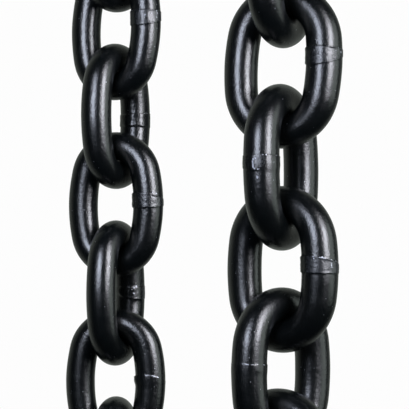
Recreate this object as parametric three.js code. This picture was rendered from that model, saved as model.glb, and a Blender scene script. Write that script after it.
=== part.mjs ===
// Two cut lengths of round-link lifting chain, lying side by side on a level floor.
// Millimetres: the lengths run along Y, X is across them, and Z is up from the floor.
import * as THREE from 'three';
import { ParametricGeometry } from 'three/addons/geometries/ParametricGeometry.js';

// Driving dimensions of each chain. The pitch is the inside length of a link: three rods, give or
// take what the standard allows. Both chains are cut at the first whole number of links past a metre.
const chains = [
  {
    name: 'link_14mm',
    rod: 14,
    pitch: 42,
    outerWidth: 47.2,
    links: 24,
    rightLinks: 1,       // 1: odd links lean to the right, 0: even ones; the others lean to the left
    leftLinkWeldSide: -1,
    wavePairs: 10,       // the lay of the chain swings once over this many pairs of links
    waveStart: 6.11,
    waveSense: -1,
    // links that lie otherwise: roll and skew in degrees, and how far to the right of the middle line
    settled: {
      11: [46, -2.2, 0.2],
      12: [136.3, 0.3, 0.2],
      13: [37, -0.7, 0],
      14: [126.8, 0, -0.2],
      15: [23, -0.4, -0.4],
      16: [120.7, 0, -0.6],
    },
    shift: 3.2,          // how far this length was pushed along past the other
  },
  {
    name: 'link_16mm',
    rod: 16,
    pitch: 48.6,
    outerWidth: 59.5,
    links: 21,
    rightLinks: 0,
    leftLinkWeldSide: 1,
    wavePairs: 6,
    waveStart: 5.28,
    waveSense: 1,
    settled: {
      9: [129, 0, 0.5],
      10: [40.3, -3.2, 0.8],
      11: [131.7, 0.8, 0.1],
      12: [49.8, -0.3, 0.3],
      13: [150.2, -0.2, 0.2],
      14: [50.8, 0, -1.2],
    },
    shift: 0,
  },
];
const axisSpacing = 80;        // between the middle lines of the two lengths
const clearance = 0.38;        // between a link and the next one that it bears on
const layAngle = 45;           // links lie alternately this far over to each side, in degrees
const swing = 14;              // most that a pair of links is turned from that lay, in degrees
const hang = 0.08;             // how far, in rods, a link hangs below the next where it is held up

// Shape of every link, as shares of its rod's diameter
const crownThickness = 0.94;   // the bent ends are drawn a little thinner than the legs
const weldLength = 0.5;        // the swollen butt weld halfway along one leg
const weldRamp = 0.08;
const weldSwell = 1.04;

// Fineness of the surface. An odd number of steps leaves the crowns' tips flat, where links bear.
const sectionSides = 10;
const crownSteps = 7;
const feelerSpan = 0.5;        // the links' seats are felt this far out, in rods
const feelerSteps = 16;

const upChain = new THREE.Vector3(0, 1, 0);
const downChain = new THREE.Vector3(0, -1, 0);
const blackenedSteel = { color: 0x1b1b20, roughness: 0.35, metalness: 0.9 };

// A section with flat sides has corners this far out, so that its area is the round rod's
const cornerReach = Math.sqrt((2 * Math.PI) / (sectionSides * Math.sin((2 * Math.PI) / sectionSides)));

// Radius of the crowns' middle line, and half the length of the straight legs between them
function linkFrame({ rod, pitch, outerWidth }) {
  const bend = (outerWidth - rod) / 2;
  return { bend, halfLeg: (pitch + rod * crownThickness) / 2 - bend };
}

// One place on a link's middle line: where it is, which way is outward, and the rod's radius there
function station(x, y, outward, radius) {
  return { x, y, outward, radius };
}

// A crown is a half circle that starts at firstAngle; its rod is thinnest at the tip.
// Its steps touch the half circle at their middles, so their ends lie a little outside it.
function crownStations(chain, firstAngle, centreY) {
  const reach = linkFrame(chain).bend / Math.cos(Math.PI / crownSteps / 2);
  return Array.from({ length: crownSteps - 1 }, (_, i) => {
    const turn = (Math.PI * (i + 1)) / crownSteps;
    const angle = firstAngle + turn;
    const radius = (chain.rod / 2) * (1 - (1 - crownThickness) * Math.sin(turn));
    return station(reach * Math.cos(angle), centreY + reach * Math.sin(angle), angle, radius);
  });
}

// The whole middle line: up the welded leg, over the top crown, down the plain leg and back
function linkStations(chain) {
  const { bend, halfLeg } = linkFrame(chain);
  const radius = chain.rod / 2;
  const weldEnd = (chain.rod * weldLength) / 2;
  const rampEnd = weldEnd + chain.rod * weldRamp;
  const weldedLeg = [
    [-halfLeg, 1],
    [-rampEnd, 1],
    [-weldEnd, weldSwell],
    [weldEnd, weldSwell],
    [rampEnd, 1],
    [halfLeg, 1],
  ].map(([y, swell]) => station(bend, y, 0, radius * swell));
  return [
    ...weldedLeg,
    ...crownStations(chain, 0, halfLeg),
    station(-bend, halfLeg, Math.PI, radius),
    station(-bend, -halfLeg, Math.PI, radius),
    ...crownStations(chain, Math.PI, -halfLeg),
  ];
}

// One closed link in the XY plane, its length along Y
function linkGeometry(chain) {
  const stations = linkStations(chain);
  const surface = (around, along, target) => {
    const { x, y, outward, radius } = stations[Math.round(along * stations.length) % stations.length];
    const angle = -2 * Math.PI * (around + 0.5 / sectionSides);
    const out = radius * cornerReach * Math.cos(angle);
    const up = radius * cornerReach * Math.sin(angle);
    target.set(x + out * Math.cos(outward), y + out * Math.sin(outward), up);
  };
  return new ParametricGeometry(surface, sectionSides, stations.length);
}

// How far along Y a link's crown is from its middle, in the direction and on the line given
function reachOf(link, start, direction) {
  const [hit] = new THREE.Raycaster(start, direction).intersectObject(link);
  return hit ? hit.distance : Infinity;
}

// Distance between the middles of two joined links when their crowns just clear each other,
// felt along a grid of lines through both crowns
function spacingOf(chain, upper, lower) {
  const middleHeight = (upper.position.z + lower.position.z) / 2;
  const offsets = Array.from({ length: 2 * feelerSteps + 1 }, (_, i) =>
    chain.rod * feelerSpan * (i / feelerSteps - 1));
  const limits = offsets.flatMap((x) => offsets.map((z) => {
    const start = new THREE.Vector3(x, 0, middleHeight + z);
    return reachOf(upper, start, downChain) + reachOf(lower, start, upChain);
  }));
  return Math.min(...limits) - clearance;
}

// How a link lies: its roll in degrees, leaning right or left and turned a little with its pair,
// its skew, how far it points to the left of the length's own line, and its place across that line
function layOf(chain, number) {
  if (chain.settled[number]) return chain.settled[number];
  const leansRight = number % 2 === chain.rightLinks;
  const pair = Math.floor((number + chain.rightLinks) / 2);
  const wave = (2 * Math.PI * (pair - chain.waveStart)) / chain.wavePairs;
  const lay = leansRight ? layAngle : 180 - layAngle;
  return [lay + chain.waveSense * swing * Math.sin(wave), 0, 0];
}

function makeLink(chain, number) {
  const link = new THREE.Mesh(linkGeometry(chain), new THREE.MeshStandardMaterial(blackenedSteel));
  link.name = `${chain.name}_${String(number).padStart(2, '0')}`;
  const [roll, skew, aside] = layOf(chain, number);
  const weldSide = number % 2 === chain.rightLinks ? 1 : chain.leftLinkWeldSide;
  const turn = THREE.MathUtils.degToRad(weldSide > 0 ? -roll : 180 - roll);
  link.rotation.set(0, turn, THREE.MathUtils.degToRad(skew), 'ZYX');
  link.position.x = aside;
  link.position.z = -new THREE.Box3().setFromObject(link, true).min.z;
  return link;
}

// A length of chain along Y, numbered from its +Y end. Each link lies on the floor,
// or hangs in the links beside it where they hold it clear of the floor.
function makeLength(chain) {
  const length = new THREE.Group();
  const numbers = Array.from({ length: chain.links }, (_, i) => i + 1);
  const links = numbers.map((number) => makeLink(chain, number));
  const floorHeights = links.map((link) => link.position.z);
  links.forEach((link, i) => {
    const beside = [floorHeights[i - 1] ?? 0, floorHeights[i + 1] ?? 0];
    link.position.z = Math.max(floorHeights[i], Math.max(...beside) - chain.rod * hang);
    link.updateMatrixWorld();
  });
  const spacings = links.slice(1).map((link, i) => spacingOf(chain, links[i], link));
  links.slice(1).forEach((link, i) => {
    link.position.y = links[i].position.y - spacings[i];
  });
  length.add(...links);
  length.position.y = -links.at(-1).position.y / 2 + chain.shift;
  return length;
}

const heap = new THREE.Group();
chains.forEach((chain, i) => {
  const length = makeLength(chain);
  length.position.x = (i - (chains.length - 1) / 2) * axisSpacing;
  heap.add(length);
});

// The origin is on the floor under the middle of the two lengths
const middle = new THREE.Box3().setFromObject(heap, true).getCenter(new THREE.Vector3());
heap.position.set(-middle.x, -middle.y, 0);

export default heap;
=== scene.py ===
import math
import random

import bmesh
import bpy
import numpy as np
from mathutils import Matrix, Vector, noise


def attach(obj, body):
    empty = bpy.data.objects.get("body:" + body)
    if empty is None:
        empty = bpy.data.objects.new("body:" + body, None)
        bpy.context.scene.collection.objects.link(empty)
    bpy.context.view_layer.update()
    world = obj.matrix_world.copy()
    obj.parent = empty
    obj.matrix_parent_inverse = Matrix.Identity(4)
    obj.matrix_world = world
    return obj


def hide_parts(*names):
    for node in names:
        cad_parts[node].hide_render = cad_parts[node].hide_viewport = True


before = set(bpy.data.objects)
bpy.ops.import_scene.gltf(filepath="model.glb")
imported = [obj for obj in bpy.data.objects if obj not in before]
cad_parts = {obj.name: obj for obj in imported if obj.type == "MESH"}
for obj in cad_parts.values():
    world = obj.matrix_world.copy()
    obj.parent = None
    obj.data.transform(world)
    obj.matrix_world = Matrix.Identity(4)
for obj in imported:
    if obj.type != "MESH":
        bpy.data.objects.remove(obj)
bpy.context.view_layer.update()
scene = bpy.context.scene
mm = 0.001


def linearOf(hexColour):
    channels = [int(hexColour[i:i + 2], 16) / 255 for i in (1, 3, 5)]
    return [c / 12.92 if c <= 0.04045 else ((c + 0.055) / 1.055) ** 2.4 for c in channels] + [1]


def addNode(tree, kind, settings=None, **links):
    # settings are the node's own properties or its sockets' values, links join sockets to others;
    # a number, or an underscore and a number, names a socket by its place
    node = tree.nodes.new(kind)
    for name, value in (settings or {}).items():
        if hasattr(node, name):
            setattr(node, name, value)
        else:
            node.inputs[int(name) if name.isdigit() else name].default_value = value
    for name, source in links.items():
        socket = node.inputs[int(name[1:]) if name[1:].isdigit() else name.replace("_", " ")]
        tree.links.new(source, socket)
    return node


# Alloy steel rod, quenched and tempered, then dipped in thin black lacquer. The dip leaves a soft
# shine with a fine orange peel; where the weld was trimmed the surface is matte and greyer.
# Colours are sRGB, sizes and depths are in mm.
lacquer = {
    "black": "#030506",
    "blackWarm": "#050606",
    "patchSize": 9,             # patches of the two blacks
    "trimmed": "#15171a",
    "bare": "#85878d",          # bright steel that shows where the lacquer has chipped
    "bareRoughness": 0.55,
    "roughness": 0.24,
    "roughnessSpread": 0.06,
    "dipSize": 5,               # patches where the dip dried duller or shinier
    "trimmedRoughness": 0.34,
    "frayingSize": 0.9,         # how finely the edges of trimmed and chipped places are frayed
    "fraying": 0.45,            # and how much
    "trimmedFrom": 0.15,        # the trimmed look comes in between these shares
    "trimmedTo": 0.95,
    "peelSize": 1.1,            # orange peel, from hump to hump; deeper than real, or it won't show
    "peelDepth": 0.075,
    "gritSize": 0.7,            # grit of the mill scale under the lacquer, really about 0.2:
    "gritDepth": 0.085,         # drawn coarser and deeper, because what is finer doesn't show
    "scratchSize": 0.6,         # marks of the trim tool, really about 0.2: drawn coarser as well
    "scratchDepth": 0.1,
    "chipSpacing": 3.6,         # one cell in which a chip may lie
    "chipShare": 0.045,         # radius of a chip as a share of its cell
}
noiseRange = (0.3, 0.7)         # a noise's values mostly lie between these


def makeLacqueredSteel():
    material = bpy.data.materials.new("lacquered_steel")
    material.use_nodes = True
    tree = material.node_tree
    shader = tree.nodes["Principled BSDF"]
    shader.inputs["IOR"].default_value = 1.5    # the lacquer's
    place = addNode(tree, "ShaderNodeTexCoord").outputs["Object"]
    trim = addNode(tree, "ShaderNodeAttribute", {"attribute_name": "trimmed"}).outputs["Fac"]
    chipped = addNode(tree, "ShaderNodeAttribute", {"attribute_name": "chipped"}).outputs["Fac"]

    # colour: two blacks in patches, greyer steel where it was trimmed, bright steel where chipped
    patches = addNode(tree, "ShaderNodeTexNoise", {
        "Scale": 1 / (lacquer["patchSize"] * mm), "Detail": 3}, Vector=place)
    black = addNode(tree, "ShaderNodeMix", {
        "data_type": "RGBA", "6": linearOf(lacquer["black"]), "7": linearOf(lacquer["blackWarm"]),
    }, Factor=patches.outputs["Fac"])
    frayingNoise = addNode(tree, "ShaderNodeTexNoise", {
        "Scale": 1 / (lacquer["frayingSize"] * mm), "Detail": 2}, Vector=place)
    fraying = addNode(tree, "ShaderNodeMath", {
        "operation": "MULTIPLY_ADD", "1": 2 * lacquer["fraying"], "2": -lacquer["fraying"],
    }, _0=frayingNoise.outputs["Fac"])
    frayedTrim = addNode(tree, "ShaderNodeMath", {
        "operation": "ADD"}, _0=trim, _1=fraying.outputs[0])
    trimShare = addNode(tree, "ShaderNodeMapRange", {
        "interpolation_type": "SMOOTHSTEP",
        "From Min": lacquer["trimmedFrom"], "From Max": lacquer["trimmedTo"],
    }, Value=frayedTrim.outputs[0])
    worn = addNode(tree, "ShaderNodeMix", {
        "data_type": "RGBA", "7": linearOf(lacquer["trimmed"]),
    }, _0=trimShare.outputs[0], _6=black.outputs[2])
    cells = addNode(tree, "ShaderNodeTexVoronoi", {
        "Scale": 1 / (lacquer["chipSpacing"] * mm)}, Vector=place)
    chip = addNode(tree, "ShaderNodeMath", {
        "operation": "LESS_THAN", "1": lacquer["chipShare"]}, _0=cells.outputs["Distance"])
    frayedChip = addNode(tree, "ShaderNodeMath", {
        "operation": "ADD"}, _0=chipped, _1=fraying.outputs[0])
    bigChip = addNode(tree, "ShaderNodeMath", {
        "operation": "GREATER_THAN", "1": 0.5}, _0=frayedChip.outputs[0])      # half or more
    bare = addNode(tree, "ShaderNodeMath", {
        "operation": "MAXIMUM"}, _0=chip.outputs[0], _1=bigChip.outputs[0])
    colour = addNode(tree, "ShaderNodeMix", {
        "data_type": "RGBA", "7": linearOf(lacquer["bare"]),
    }, _0=bare.outputs[0], _6=worn.outputs[2])
    tree.links.new(colour.outputs[2], shader.inputs["Base Color"])
    tree.links.new(bare.outputs[0], shader.inputs["Metallic"])

    # roughness: uneven with the dip, and matte where the weld was trimmed
    dip = addNode(tree, "ShaderNodeTexNoise", {
        "Scale": 1 / (lacquer["dipSize"] * mm), "Detail": 4}, Vector=place)
    dipRoughness = addNode(tree, "ShaderNodeMapRange", {
        "From Min": noiseRange[0], "From Max": noiseRange[1],
        "To Min": lacquer["roughness"] - lacquer["roughnessSpread"] / 2,
        "To Max": lacquer["roughness"] + lacquer["roughnessSpread"] / 2,
    }, Value=dip.outputs["Fac"])
    trimRoughness = addNode(tree, "ShaderNodeMix", {
        "data_type": "FLOAT", "3": lacquer["trimmedRoughness"],
    }, _0=trimShare.outputs[0], _2=dipRoughness.outputs[0])
    roughness = addNode(tree, "ShaderNodeMix", {
        "data_type": "FLOAT", "3": lacquer["bareRoughness"],
    }, _0=bare.outputs[0], _2=trimRoughness.outputs[0])
    tree.links.new(roughness.outputs[0], shader.inputs["Roughness"])

    # relief: orange peel, grit of the mill scale, and the trim tool's marks
    peel = addNode(tree, "ShaderNodeTexNoise", {
        "Scale": 1 / (lacquer["peelSize"] * mm), "Detail": 1}, Vector=place)
    peelBump = addNode(tree, "ShaderNodeBump", {
        "Distance": lacquer["peelDepth"] * mm, "Strength": 1}, Height=peel.outputs["Fac"])
    grit = addNode(tree, "ShaderNodeTexNoise", {
        "Scale": 1 / (lacquer["gritSize"] * mm), "Detail": 2}, Vector=place)
    gritBump = addNode(tree, "ShaderNodeBump", {
        "Distance": lacquer["gritDepth"] * mm, "Strength": 1},
        Height=grit.outputs["Fac"], Normal=peelBump.outputs[0])
    marks = addNode(tree, "ShaderNodeTexNoise", {
        "Scale": 1 / (lacquer["scratchSize"] * mm), "Detail": 3}, Vector=place)
    marksHeight = addNode(tree, "ShaderNodeMath", {
        "operation": "MULTIPLY"}, _0=marks.outputs["Fac"], _1=trimShare.outputs[0])
    marksBump = addNode(tree, "ShaderNodeBump", {
        "Distance": lacquer["scratchDepth"] * mm, "Strength": 1},
        Height=marksHeight.outputs[0], Normal=gritBump.outputs[0])
    tree.links.new(marksBump.outputs[0], shader.inputs["Normal"])
    return material


chains = {
    # mm. Half the width and half the length are at the rod's middle line, the legs bow through
    # legBow degrees, and crown is how much of the rod is left where it is bent
    "link_14mm": {"halfWidth": 16.8, "halfLength": 27.7, "legBow": 13, "crown": 0.95,
                  "plainLeg": 13.85, "weldedLeg": 14.1},
    "link_16mm": {"halfWidth": 21.75, "halfLength": 32, "legBow": 8, "crown": 0.925,
                  "plainLeg": 16.5, "weldedLeg": 17.35},
}
linkForm = {
    # "along" is mm from the middle of the welded leg, +Y positive, and "round" is degrees round
    # the rod, 0 outward and 180 toward the opening
    "sides": 40,
    "step": 1.3,                # mm along the rod
    "fineStep": 0.3,            # at the weld
    "ripple": 0.05,             # mm of unevenness in the drawn rod
    "from": -3.5,               # along, the weld's two ends
    "to": 3.5,
    "fromSlant": -0.5,          # mm that the ends run askew
    "toSlant": 0.5,
    "ragged": 0.3,              # mm that the ends are uneven
    "swell": 0.3,               # mm that it stands proud
    "swellUneven": 0.3,         # share that the swell differs
    "swellTrimmed": 0.4,        # share that the trim tool took off
    "ramp": 0.65,               # mm in which it rises at the +Y end, where it catches the light
    "undercut": 0.9,            # mm in which it falls at the -Y end, which stays dark
    "gentle": 4,                # mm more where that fall isn't sharp
    "seam": (30, 200),          # where it is sharp: round, and degrees to each side
    "lip": 0.1,                 # mm, thin raised edge at the +Y end
    "lipWidth": 0.4,            # mm
    "lipBack": 0.3,             # mm from the weld's end
    "lipWorn": 0.2,             # share of the lip that shows bare steel
    "lipAt": (30, 200),         # where the lip is, as the seam
    "flash": 0.5,               # mm, squeezed-out ridge that faces the opening
    "flashUneven": 0.6,         # share that the ridge differs
    "flashAngle": 60,           # degrees to each side
    "trimAngle": 30,            # round, where the trimmed side faces
    "trimSpread": 95,
    "flat": 0.3,                # mm that the trimmed side is ground flat in its middle
    "flatAngle": 36,            # degrees to each side
    "flatStart": (0.5, 1),      # mm in from the -Y end, and mm in which it deepens
    "flatStop": (0.2, 0.8),     # the same from the +Y end
    "heat": 0,                  # how dull the lacquer is over the heated steel beside the weld
    "heated": (5, 6),           # mm of it beyond each end of the weld
    "heatFade": 4,              # mm in which it fades
    "matte": 0.7,               # how dull the trimmed side is
    "chips": [],                # bare spots: (along, round, mm across)
}
markedLinks = {
    # the links that the camera sees closely have finer rings, and marks of their own
    "link_14mm_11": {
        "sides": 96, "fineStep": 0.25, "plainLeg": 13.75, "weldedLeg": 14.05,
        "from": 1.5, "to": 8, "fromSlant": -1.3, "swell": 0.4, "matte": 0.55, "lipWorn": 0.1,
        "flash": 0.1,
        "chips": [(6.2, 8, 0.6), (7.2, 12, 0.5), (4.4, 12, 0.5), (5.4, 60, 0.4)],
    },
    "link_14mm_12": {
        "sides": 96, "fineStep": 0.25, "plainLeg": 14.25, "weldedLeg": 14.05,
        "from": -5.3, "to": 1.4, "fromSlant": 0, "matte": 0.2, "lipWorn": 0.1, "flash": 0.1,
    },
    "link_14mm_13": {
        "sides": 96, "fineStep": 0.25, "plainLeg": 13.8, "weldedLeg": 14.15,
        "from": -1.3, "to": 4.6, "fromSlant": -0.6, "toSlant": 1.9, "swell": 0.38, "matte": 0.5,
        "lipWorn": 0.05, "lipAt": (40, 70), "flash": 0.35, "trimAngle": 36,
        "chips": [(5.6, 50, 0.45), (5, 32, 0.5), (3.4, 44, 0.4)],
    },
    "link_14mm_14": {
        "sides": 96, "fineStep": 0.25, "plainLeg": 14.1, "weldedLeg": 14,
        "from": -1.7, "to": 3.2, "fromSlant": -2.5, "toSlant": 0, "flat": 0, "lipWorn": 0.1,
        "flash": 0.1,
        "chips": [(1.6, 150, 0.5), (2.4, 142, 0.7), (3.3, 131, 0.6), (-0.4, 142, 0.6),
                  (-70.4, 16, 0.7)],
    },
    "link_14mm_15": {
        "sides": 96, "fineStep": 0.25, "plainLeg": 13.65, "weldedLeg": 14.2,
        "from": -2.8, "to": 2, "toSlant": 1.9, "swell": 0.22, "seam": (30, 0), "flat": 0,
        "matte": 0.1, "lip": 0.12, "lipWorn": 0.4, "lipAt": (55, 45),
    },
    "link_16mm_10": {
        "sides": 96, "fineStep": 0.25, "plainLeg": 16.15, "weldedLeg": 17.4,
        "from": 2.2, "to": 9, "fromSlant": -2.2, "toSlant": 0.9, "swell": 0.4, "matte": 0.55,
        "lipWorn": 0.1, "trimAngle": 36, "flat": 0.4, "heat": 0.15, "flash": 0.2,
        "chips": [(6.5, 4, 0.8), (7.1, 28, 0.5)],
    },
    "link_16mm_11": {
        "sides": 96, "fineStep": 0.25, "plainLeg": 16.9, "weldedLeg": 17.3,
        "from": -2.2, "to": 5.7, "fromSlant": 1.3, "toSlant": 0, "seam": (40, 80), "trimAngle": -18,
        "trimSpread": 40, "flat": 0, "matte": 0.6, "heat": 0.15, "lipWorn": 0.3, "lipAt": (-55, 50),
        "flash": 0.2,
        "chips": [(3.9, -7, 0.5), (3.4, -1, 0.75), (2.6, 1, 0.75), (1.8, 1, 0.75), (1, 1, 0.75),
                  (0.2, 0, 0.7), (-0.5, -5, 0.65), (-0.8, -14, 0.55), (-4.1, -12, 0.9),
                  (5.5, -42, 0.6)],
    },
    "link_16mm_12": {
        "sides": 96, "fineStep": 0.25, "plainLeg": 16.5, "weldedLeg": 17.6,
        "from": -1.8, "to": 5.2, "fromSlant": 0, "toSlant": 2.2, "swell": 0.36, "matte": 0.7,
        "lipWorn": 0.4, "lipAt": (38, 65),
        "chips": [(3, 18, 0.6), (2.2, 18, 0.65), (1.4, 17, 0.6), (5.5, 76, 0.6), (5.9, 48, 0.7),
                  (3.9, -2, 0.6)],
    },
    "link_16mm_13": {
        "sides": 96, "fineStep": 0.25, "plainLeg": 17.05, "weldedLeg": 17.05,
        "from": -3, "to": 4.2, "toSlant": 0, "swell": 0.15, "seam": (30, 0), "flat": 0,
        "matte": 0.2, "lipWorn": 0.3, "lipAt": (-60, 75),
        "chips": [(-3.9, -50, 0.5), (-9.9, -48, 0.5), (2.4, -2, 0.4)],
    },
}
fadeAngle = 40                  # degrees in which a mark round the rod fades
weldReach = 8                   # mm beyond the weld's ends that its marks may take up
fineReach = 2                   # mm beyond them that have the fine step
grainAlong = 0.11               # how fast the rod's unevenness changes, for each mm along it
grainRound = 0.8                # and round it


def smooth(x, width):
    t = min(1, max(0, x / width))
    return t * t * (3 - 2 * t)


def hump(x, width):
    t = min(1, abs(x) / width)
    return (1 - t * t) ** 2


def apart(a, b):
    # degrees between two directions round the rod
    return (a - b + 180) % 360 - 180


def nearTo(degrees, angle, spread):
    # 1 near the angle, fading to 0 at the spread to each side of it
    return smooth(spread - abs(apart(degrees, angle)), fadeAngle)


def arcsOf(link):
    # the middle line: two bowed legs and two crowns, from the weld round through +Y
    halfWidth, halfLength = link["halfWidth"], link["halfLength"]
    bow = math.radians(link["legBow"])
    narrowing = (1 - math.sin(bow)) / math.cos(bow)
    legRadius = (halfLength - halfWidth * narrowing) / (1 - narrowing)
    crownRadius = legRadius - (legRadius - halfWidth) / math.cos(bow)
    crownCentre = (legRadius - crownRadius) * math.sin(bow)
    legCentre = halfWidth - legRadius
    return [
        (legCentre, 0, legRadius, 0, bow),
        (0, crownCentre, crownRadius, bow, math.pi - bow),
        (-legCentre, 0, legRadius, math.pi - bow, math.pi + bow),
        (0, -crownCentre, crownRadius, math.pi + bow, 2 * math.pi - bow),
        (legCentre, 0, legRadius, 2 * math.pi - bow, 2 * math.pi),
    ]


def pointAlong(arcs, distance):
    for x, y, radius, start, end in arcs:
        length = radius * (end - start)
        if distance <= length:
            break
        distance -= length
    angle = start + min(distance, length) / radius
    return x + radius * math.cos(angle), y + radius * math.sin(angle), angle


def stationsOf(link, length):
    # places along the middle line, close together at the weld
    start, end = link["from"] - fineReach, link["to"] + fineReach
    fine = math.ceil((end - start) / link["fineStep"])
    coarse = math.ceil((length - end + start) / link["step"])
    near = [start + (end - start) * i / fine for i in range(fine)]
    far = [end + (length - end + start) * i / coarse for i in range(coarse)]
    return near + far


def surfaceAt(link, along, around, outward, seed):
    # how far out the surface lies, and how much of it is trimmed or chipped;
    # each mark is uneven at a scale of its own, by the factor on spot
    rod = link["plainLeg"] + (link["weldedLeg"] - link["plainLeg"]) * (1 + math.cos(outward)) / 2
    reach = rod / 2 * (1 - (1 - link["crown"]) * abs(math.sin(outward)))
    grain = along * grainAlong, math.cos(around) * grainRound, math.sin(around) * grainRound
    spot = Vector(grain) + seed
    reach += link["ripple"] * noise.noise(spot)
    trimmed = chipped = 0
    degrees = math.degrees(around)
    if link["from"] - weldReach < along < link["to"] + weldReach:
        tilt = math.sin(math.radians(degrees - link["trimAngle"]))
        top = link["to"] + link["toSlant"] * tilt
        top += link["ragged"] * noise.noise(spot * 3 + seed)
        bottom = link["from"] + link["fromSlant"] * tilt
        bottom += link["ragged"] * noise.noise(spot * 3 - seed)
        fall = link["undercut"] + link["gentle"] * (1 - nearTo(degrees, *link["seam"]))
        inWeld = smooth(along - bottom, fall) * smooth(top - along, link["ramp"])
        trim = nearTo(degrees, link["trimAngle"], link["trimSpread"])
        heated = (smooth(along - bottom + link["heated"][0], link["heatFade"])
                  * smooth(top - along + link["heated"][1], link["heatFade"]))
        trimmed = max(inWeld * trim * link["matte"], heated * link["heat"])

        uneven = 1 + link["swellUneven"] * noise.noise(spot * 5)
        reach += link["swell"] * inWeld * (1 - link["swellTrimmed"] * trim) * uneven
        inset, deepening = link["flatStart"]
        ground = smooth(along - bottom - inset, deepening)
        inset, deepening = link["flatStop"]
        ground *= smooth(top - along - inset, deepening)
        reach -= link["flat"] * ground * hump(apart(degrees, link["trimAngle"]), link["flatAngle"])
        lip = hump(along - top + link["lipBack"], link["lipWidth"])
        lip *= nearTo(degrees, *link["lipAt"])
        reach += link["lip"] * lip * (0.5 + noise.noise(spot * 7 + seed))
        chipped = lip * (link["lipWorn"] + 1.5 * noise.noise(spot * 9 - seed))
        uneven = 1 + link["flashUneven"] * noise.noise(spot * 6 - seed)
        reach += link["flash"] * inWeld * hump(apart(degrees, 180), link["flashAngle"]) * uneven
    for where, turn, across in link["chips"]:
        off = math.hypot(along - where, math.radians(apart(degrees, turn)) * reach)
        chipped = max(chipped, 1.3 * hump(off, across))     # over 1, so that its middle is bare
    return reach, trimmed, chipped


def linkMesh(name, form):
    arcs = arcsOf(form)
    length = sum(radius * (end - start) for _, _, radius, start, end in arcs)
    stations = stationsOf(form, length)
    sides = form["sides"]
    draws = random.Random(name)
    seed = Vector((draws.uniform(-50, 50), draws.uniform(-50, 50), draws.uniform(-50, 50)))
    bm = bmesh.new()
    trimLayer = bm.verts.layers.float.new("trimmed")
    chipLayer = bm.verts.layers.float.new("chipped")
    rings = []
    for along in stations:
        x, y, outward = pointAlong(arcs, along % length)
        signed = along if along < length / 2 else along - length
        ring = []
        for i in range(sides):
            around = 2 * math.pi * i / sides
            reach, trimmed, chipped = surfaceAt(form, signed, around, outward, seed)
            out = reach * math.cos(around)
            up = reach * math.sin(around)
            vert = bm.verts.new((x + out * math.cos(outward), y + out * math.sin(outward), up))
            vert[trimLayer] = trimmed
            vert[chipLayer] = chipped
            ring.append(vert)
        rings.append(ring)
    uv = bm.loops.layers.uv.new("UVMap")
    for j, ring in enumerate(rings):
        following = rings[(j + 1) % len(rings)]
        for i in range(sides):
            k = (i + 1) % sides
            face = bm.faces.new((ring[i], ring[k], following[k], following[i]))
            face.smooth = True
            corners = ((i, j), (i + 1, j), (i + 1, j + 1), (i, j + 1))
            for loop, (u, v) in zip(face.loops, corners):
                loop[uv].uv = u / sides, v / len(rings)
    mesh = bpy.data.meshes.new(name)
    bm.to_mesh(mesh)
    bm.free()
    return mesh


crownShare = 0.6                # what lies farther out than this share of a link is its crowns


def poseOf(node):
    # where the link lies: its middle, and its own axes: across to the welded leg, and along
    points = np.array([v.co for v in node.data.vertices])
    middle = points.mean(0)
    _, axes = np.linalg.eigh(np.cov((points - middle).T))
    across, along = axes[:, 1], axes[:, 2]
    along = along if along[1] > 0 else -along
    reach = (points - middle) @ along
    crowns = points[abs(reach) > crownShare * reach.max()].mean(0)
    middle = crowns + along * ((reach.max() + reach.min()) / 2 - (crowns - middle) @ along)
    if ((points - middle) @ across).mean() < 0:
        across = -across            # the weld has the more vertices
    axes = Matrix((across, along, np.cross(across, along))).transposed().to_4x4()
    return Matrix.Translation(middle) @ axes


def makeLinks(material):
    for nodeName in sorted(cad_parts):
        form = {**linkForm, **chains[nodeName[:9]], **markedLinks.get(nodeName, {})}
        mesh = linkMesh(nodeName + "_look", form)
        mesh.transform(poseOf(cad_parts[nodeName]) @ Matrix.Scale(mm, 4))
        mesh.materials.append(material)
        link = bpy.data.objects.new(nodeName + "_look", mesh)
        scene.collection.objects.link(link)
        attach(link, "root")
        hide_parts(nodeName)


lacqueredSteel = makeLacqueredSteel()
print("lacquer made")
makeLinks(lacqueredSteel)
print("links made:", len(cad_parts))


# Opal acrylic, cast, and lit evenly from below: it glows, and no shadow or shine shows on it
table = {
    "colour": "#fdfdfd",
    "radius": 25,               # metres
    "edgeRise": 6,
    "flatShare": 0.6,           # of the radius; from there on it rises
    "riseSteps": 12,
    "sides": 96,
}


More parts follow.
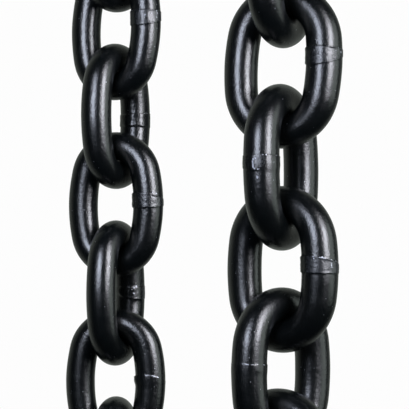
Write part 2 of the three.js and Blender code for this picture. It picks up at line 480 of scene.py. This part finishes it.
def makeTable():
    # a round white sweep: flat under the chain, rising at its far edge
    material = bpy.data.materials.new("opal_acrylic")
    material.use_nodes = True
    tree = material.node_tree
    tree.nodes.remove(tree.nodes["Principled BSDF"])
    glow = addNode(tree, "ShaderNodeEmission", {"Color": linearOf(table["colour"])})
    tree.links.new(glow.outputs[0], tree.nodes["Material Output"].inputs["Surface"])
    flatShare = table["flatShare"]
    profile = [(0, 0), (table["radius"] * flatShare, 0)]
    for i in range(1, table["riseSteps"] + 1):
        turn = math.pi / 2 * i / table["riseSteps"]
        outward = table["radius"] * (flatShare + (1 - flatShare) * math.sin(turn))
        profile.append((outward, table["edgeRise"] * (1 - math.cos(turn))))
    bm = bmesh.new()
    verts = [bm.verts.new((x, 0, z)) for x, z in profile]
    edges = [bm.edges.new(pair) for pair in zip(verts, verts[1:])]
    bmesh.ops.spin(bm, geom=verts + edges, axis=(0, 0, 1), cent=(0, 0, 0),
                   angle=2 * math.pi, steps=table["sides"])
    bmesh.ops.remove_doubles(bm, verts=bm.verts, dist=1e-5)
    bmesh.ops.recalc_face_normals(bm, faces=bm.faces)
    bmesh.ops.reverse_faces(bm, faces=[f for f in bm.faces if f.normal.z < 0])
    mesh = bpy.data.meshes.new("table")
    bm.to_mesh(mesh)
    bm.free()
    mesh.materials.append(material)
    floor = bpy.data.objects.new("table", mesh)
    scene.collection.objects.link(floor)
    floor.visible_glossy = False


makeTable()
print("table made")


cameraView = {
    "lean": 14.5,               # degrees that it looks down from the left of upright
    "distance": 1.5,            # metres
    "targetAcross": 6.09,       # mm to the right, along and toward the camera, where it looks
    "targetAlong": -17.95,
    "targetHeight": 22,
    "frameWidth": 194.5,        # mm that the picture shows there
    "sensor": 36,
}
lean = math.radians(cameraView["lean"])
towardCamera = Vector((-math.sin(lean), 0, math.cos(lean)))
pictureRight = Vector((math.cos(lean), 0, math.sin(lean)))
target = (pictureRight * cameraView["targetAcross"] + Vector((0, cameraView["targetAlong"], 0))
          + towardCamera * cameraView["targetHeight"]) * mm

softboxes = {
    # angle: degrees across the chain from the camera's axis, right positive; the rest in metres,
    # from and to along the chain from where the camera looks; each box brightens over its ramp
    # and darkens over its fall
    "left": {"angle": -25.5, "distance": 0.6, "width": 0.27,
             "from": 0, "ramp": 0.06, "to": 0.54, "fall": 0.34,
             "radiance": 18.8, "tint": "#e4ecff"},
    "right": {"angle": 46, "distance": 0.6, "width": 0.275,
              "from": -0.04, "ramp": 0.08, "to": 0.7, "fall": 0.42,
              "radiance": 21, "tint": "#f4f5ff"},
    "side": {"angle": 80, "distance": 1.1, "width": 0.75,
             "from": -0.35, "ramp": 0.15, "to": 0.9, "fall": 0.3,
             "radiance": 2.2, "tint": "#eefbf6"},
}
heads = 6                       # lights that share a box's ramp, and its fall
room = {
    "upper": "#050608",         # a dark room
    "lower": "#9ea49e",         # and the table's glow from below, full from "down" on
    "horizon": -0.02,           # heights in which the one turns into the other
    "down": -0.65,
}


def makeHead(name, box, start, end, radiance):
    data = bpy.data.lights.new(name, "AREA")
    data.shape = "RECTANGLE"
    data.size = box["width"]
    data.size_y = end - start
    data.energy = radiance * math.pi * box["width"] * (end - start)
    data.color = linearOf(box["tint"])[:3]
    light = bpy.data.objects.new(name, data)
    scene.collection.objects.link(light)
    turn = math.radians(box["angle"])
    outward = towardCamera * math.cos(turn) + pictureRight * math.sin(turn)
    across = pictureRight * math.cos(turn) - towardCamera * math.sin(turn)
    middle = target + outward * box["distance"] + Vector((0, (start + end) / 2, 0))
    axes = Matrix((across, (0, 1, 0), outward)).transposed().to_4x4()
    light.matrix_world = Matrix.Translation(middle) @ axes
    light.visible_camera = False


def makeSoftbox(name, box):
    fallStart = box["to"] - box["fall"]
    makeHead(name, box, box["from"] + box["ramp"], fallStart, box["radiance"])
    for i in range(heads):
        radiance = box["radiance"] * (i + 0.5) / heads
        start, end = (box["from"] + box["ramp"] * k / heads for k in (i, i + 1))
        makeHead(f"{name}_near_{i}", box, start, end, radiance)
        start, end = (box["to"] - box["fall"] * k / heads for k in (i + 1, i))
        makeHead(f"{name}_far_{i}", box, start, end, radiance)


def makeRoom():
    world = bpy.data.worlds.new("studio")
    scene.world = world
    world.use_nodes = True
    tree = world.node_tree
    direction = addNode(tree, "ShaderNodeTexCoord").outputs["Generated"]
    height = addNode(tree, "ShaderNodeSeparateXYZ", Vector=direction).outputs["Z"]
    rise = addNode(tree, "ShaderNodeMapRange", {
        "From Min": room["down"], "From Max": room["horizon"]}, Value=height)
    colour = addNode(tree, "ShaderNodeMix", {
        "data_type": "RGBA", "6": linearOf(room["lower"]), "7": linearOf(room["upper"]),
    }, _0=rise.outputs[0])
    tree.links.new(colour.outputs[2], tree.nodes["Background"].inputs["Color"])


def makeCamera():
    data = bpy.data.cameras.new("camera")
    data.sensor_width = cameraView["sensor"]
    data.lens = cameraView["sensor"] * cameraView["distance"] / (cameraView["frameWidth"] * mm)
    data.clip_start = 0.05
    data.clip_end = 200
    camera = bpy.data.objects.new("camera", data)
    scene.collection.objects.link(camera)
    axes = Matrix((pictureRight, (0, 1, 0), towardCamera)).transposed().to_4x4()
    camera.matrix_world = Matrix.Translation(target + towardCamera * cameraView["distance"]) @ axes
    scene.camera = camera


for name, box in softboxes.items():
    makeSoftbox(name, box)
makeRoom()
print("lights made")

makeCamera()
scene.view_settings.view_transform = "Standard"
print("camera made")
